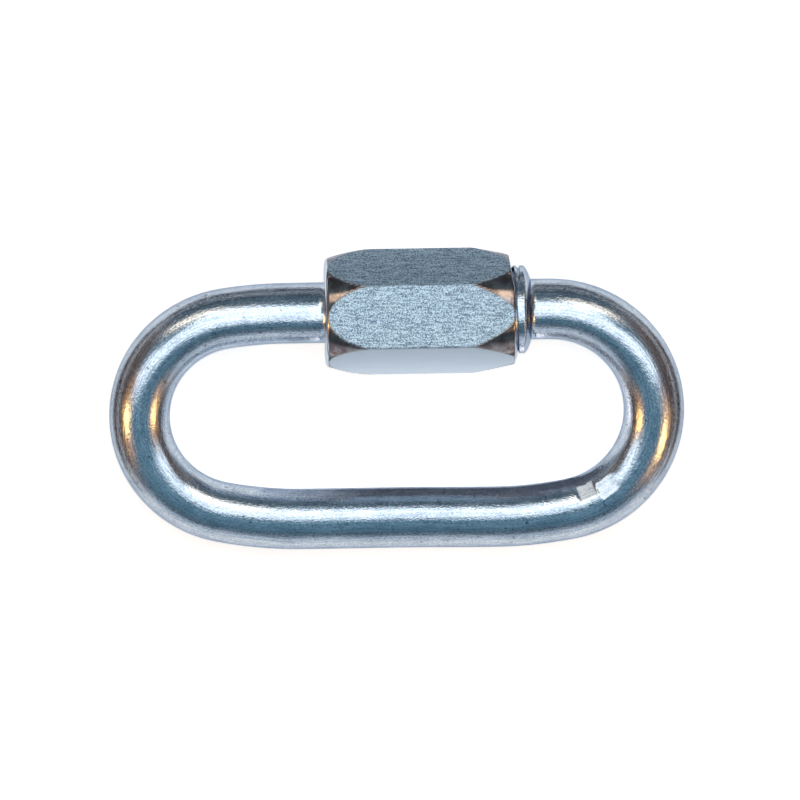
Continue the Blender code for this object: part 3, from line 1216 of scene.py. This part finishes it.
@dataclass
class Studio:
    """A pale floor with its mirror cards, a dim room with one warm window, the lamps, the camera.

    The room's colours run over the top from front to back, in degrees from straight up, and its
    flanks' colours from the middle to the sides, in shares of a right angle.
    """

    ring: Ring
    floor_width: float = 1.6
    floor_colour: Triple = (0.80, 0.79, 0.78)
    floor_roughness: float = 0.9
    floor_lift: float = 0.62
    mirror_lift: float = 0.06
    cards: tuple[MirrorCard, ...] = (
        # Painted shade: dark cards on the floor beside and behind the ring, which only reflections
        # show, stand for shaded floor.
        MirrorCard("left_shade_card", (-90.0, -37.0), (-26.0, 0.2), (24.0, 0.2), (0.18, 0.14, 0.13)),
        MirrorCard("right_shade_card", (37.0, 90.0), (-26.0, 0.2), (24.0, 0.2), (0.18, 0.14, 0.13)),
        MirrorCard("far_shade_card", (-80.0, 80.0), (24.0, 0.2), (90.0, 0.2), (0.17, 0.18, 0.21)),
        # Painted reflection: a bright card under the gate glows into the sleeve's near lower flat.
        MirrorCard("gate_side_glow", (-8.0, 15.0), (-3.6, 0.1), (-3.6, 4.6), (2.80, 2.50, 2.40)),
        # Painted shadow: cards pale at their left end and dark beyond, for the lower wire's shadow
        # on the floor inside the ring.
        *(
            MirrorCard(name, (-13.0, 17.0), near, far, (0.85, 0.90, 0.98), (0.16, 0.17, 0.20), 10.0)
            for name, near, far in (
                ("wire_side_shadow", (-4.0, 0.1), (-4.0, 4.6)),
                ("inner_floor_shadow", (-7.4, 0.1), (-4.0, 0.1)),
            )
        ),
        # Painted reflection: a glowing card overhead, seen only in reflections, puts the white band
        # on the rod and sleeve.
        MirrorCard("sky_glow_card", (-60.0, 60.0), (-9.4, 52.0), (12.0, 52.0), (1.95, 2.02, 2.05)),
    )
    room_reach: float = 110.0
    room_colours: tuple[tuple[float, Triple], ...] = (
        (-100.0, (0.95, 0.97, 1.0)),
        (-84.0, (0.90, 0.93, 0.97)),
        (-76.0, (0.85, 0.90, 0.96)),
        (-70.0, (0.62, 0.68, 0.75)),
        (-63.0, (0.16, 0.20, 0.24)),
        (-54.0, (0.14, 0.22, 0.26)),
        (-38.0, (0.16, 0.29, 0.37)),
        (-10.0, (0.24, 0.41, 0.50)),
        (100.0, (0.12, 0.12, 0.13)),
    )
    flank_span: Pair = (0.38, 0.60)
    flank_colours: tuple[tuple[float, Triple], ...] = (
        (0.39, (0.54, 0.50, 0.50)),
        (0.52, (0.36, 0.27, 0.24)),
        (0.72, (0.18, 0.13, 0.11)),
        (1.0, (0.20, 0.15, 0.14)),
    )
    window_colour: Triple = (3.2, 2.6, 2.0)
    window_sides: tuple[Pair, Pair] = ((0.07, 0.12), (0.36, 0.44))
    window_ends: tuple[Pair, Pair] = ((27.0, 35.0), (44.0, 49.0))
    panel_place: Triple = (5.0, 35.0, 104.0)
    panel_size: Pair = (106 * MM, 66 * MM)
    panel_power: float = 0.046
    warm_places: tuple[tuple[Side, Triple], ...] = (
        (Side.LEFT, (-195.0, -62.0, 140.0)),
        (Side.RIGHT, (140.0, -84.0, 118.0)),
    )
    warm_lights: tuple[tuple[str, float, float, Triple], ...] = (
        ("warm_lamp", 0.13, 60.0, (1.0, 0.55, 0.16)),
        ("warm_glow", 0.55, 2.2, (1.0, 0.42, 0.12)),
    )
    picture_pixels: float = 800.0
    lens_pixels: float = 10080.0
    sensor_width: float = 36.0
    clip: Pair = (0.01, 10.0)
    camera_roll: float = math.radians(0.98)
    camera_yaw: float = math.radians(0.97)
    camera_pitch: float = math.radians(13.31)
    camera_shift: Triple = (-0.312 * MM, -1.443 * MM, -995.364 * MM)

    def floor(self) -> None:
        """Lays the floor, which camera and mirror rays see lifted towards white."""
        half = self.floor_width / 2
        signs = ((-1, -1), (1, -1), (1, 1), (-1, 1))
        mesh = flat_mesh("floor", [Vector((half * x, half * y, 0.0)) for x, y in signs])
        material, graph, shader = new_material("pale_floor")
        rays = graph.node("ShaderNodeLightPath").outputs
        glossy = rays["Is Glossy Ray"]
        seen = graph.maths("MAXIMUM", glossy, rays["Is Transmission Ray"])
        seen = graph.maths("MAXIMUM", rays["Is Camera Ray"], seen)
        mirrored = graph.times(glossy, self.mirror_lift)
        dressed = {
            "Base Color": (*self.floor_colour, 1.0),
            "Roughness": self.floor_roughness,
            "Specular IOR Level": 0.0,
            "Emission Color": (1.0, 1.0, 1.0, 1.0),
            "Emission Strength": graph.maths("MULTIPLY_ADD", seen, self.floor_lift, mirrored),
        }
        graph.fill(shader, dressed)
        mesh.materials.append(material)
        new_object("floor", mesh)

    def room(self) -> None:
        """Puts a room round the object: pale low in front, teal above, dark behind and beside."""
        world = bpy.data.worlds.new("room")
        world.use_nodes = True
        graph = Graph(world.node_tree)
        x, y, z = graph.split(graph.node("ShaderNodeTexCoord").outputs["Generated"])
        back_and_forth = graph.maths("ARCTAN2", y, z)
        reach = math.radians(self.room_reach)
        stops = [
            ((degrees + self.room_reach) / (2 * self.room_reach), colour)
            for degrees, colour in self.room_colours
        ]
        bands = graph.ramp(graph.spread(back_and_forth, (-reach, reach)), stops)
        sideways = graph.maths("ABSOLUTE", graph.maths("ARCSINE", x))
        lateral = graph.spread(sideways, (0.0, math.pi / 2))
        flanks = graph.ramp(lateral, self.flank_colours)
        colour = graph.blend(graph.spread(lateral, self.flank_span), bands, flanks)

        degrees = graph.maths("DEGREES", back_and_forth)
        window = graph.spread(lateral, self.window_sides[0])
        for value, span, to in (
            (lateral, self.window_sides[1], (1.0, 0.0)),
            (degrees, self.window_ends[0], (0.0, 1.0)),
            (degrees, self.window_ends[1], (1.0, 0.0)),
        ):
            window = graph.times(window, graph.spread(value, span, to))
        colour = graph.blend(window, colour, self.window_colour)
        graph.fill(world.node_tree.nodes["Background"], {"Color": colour, "Strength": 1.0})
        bpy.context.scene.world = world

    def lamp(self, name: str, place: Vector, size: Pair, power: float, colour: Triple) -> None:
        """Hangs one rectangular lamp that faces the ring's middle.

        Args:
            name: The lamp's name.
            place: Where it hangs.
            size: Its two sides.
            power: Its power in watts.
            colour: Its colour.
        """
        light = bpy.data.lights.new(name, "AREA")
        light.shape = "RECTANGLE"
        light.size, light.size_y = size
        light.energy = power
        light.color = colour
        made = new_object(name, light)
        made.location = place
        made.rotation_euler = (self.ring.middle - place).to_track_quat("-Z", "Y").to_euler()

    def lamps(self) -> None:
        """Hangs the overhead panel, and on each side a small warm lamp inside a wide warm glow.

        A warm light's width is a share of its distance, and its power goes with its area.
        """
        place = Vector(self.panel_place) * MM
        self.lamp("overhead_panel", place, self.panel_size, self.panel_power, (1.0, 1.0, 1.0))
        for side, place in self.warm_places:
            for name, share, strength, colour in self.warm_lights:
                width = Vector(place).length * MM * share
                power = width * width * strength
                label = f"{name}_{side.name.lower()}"
                self.lamp(label, Vector(place) * MM, (width, width), power, colour)

    def camera(self) -> None:
        """Sets the camera at the picture's angle, nearly overhead."""
        turn = (
            Matrix.Rotation(self.camera_roll, 3, "Z")
            @ Matrix.Rotation(self.camera_yaw, 3, "Y")
            @ Matrix.Rotation(self.camera_pitch, 3, "X")
        )
        to_world = self.ring.place.to_3x3() @ turn.transposed()
        eye = self.ring.place @ -(turn.transposed() @ Vector(self.camera_shift))
        data = bpy.data.cameras.new("camera")
        data.sensor_width = self.sensor_width
        data.lens = self.lens_pixels * self.sensor_width / self.picture_pixels
        data.clip_start, data.clip_end = self.clip
        made = new_object("camera", data)
        made.matrix_world = Matrix.Translation(eye) @ to_world.to_4x4()
        bpy.context.scene.camera = made

    def build(self) -> None:
        """Builds the whole studio."""
        bpy.context.scene.view_settings.view_transform = "Standard"
        self.floor()
        for card in self.cards:
            card.build()
        self.room()
        self.lamps()
        self.camera()


def mount(piece: bpy.types.Object, body: Body, node: str) -> None:
    """Makes a piece ride on its body in place of its CAD node.

    Args:
        piece: The finished piece.
        body: The body that carries it.
        node: The CAD node that it stands for.
    """
    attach(piece, body.value)
    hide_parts(node)
    LOG.info("%s: %d faces", piece.name, len(piece.data.polygons))


def main() -> None:
    logging.basicConfig(level=logging.INFO, format="%(message)s")
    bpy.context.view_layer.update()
    ring, thread = Ring(), Thread()
    Studio(ring).build()

    left_end = ThreadedEnd(Side.LEFT, tip=-1.0 * MM, thread_length=5.0 * MM)
    right_end = ThreadedEnd(
        Side.RIGHT,
        tip=6.8 * MM,
        thread_length=5.75 * MM,
        shoulder_power=1.8,
        groove_end_space=0.3 * MM,
        run_out=0.2 * MM,
    )
    marks = (
        PressMark(x=19.3 * MM, length=2.1 * MM, tilt=math.radians(37.0), depth=0.12 * MM),
        PressMark(x=21.3 * MM, length=2.2 * MM, tilt=math.radians(24.0), depth=0.12 * MM),
    )
    rod = BentRod(ring, thread, (left_end, right_end), marks).build(DrawnZinc().material())
    mount(rod, Body.LINK, "link_body")

    sleeve = HexSleeve(ring, thread).build(GrainedZinc().material())
    mount(sleeve, Body.NUT, "sleeve_nut")


if __name__ == "__main__":
    main()
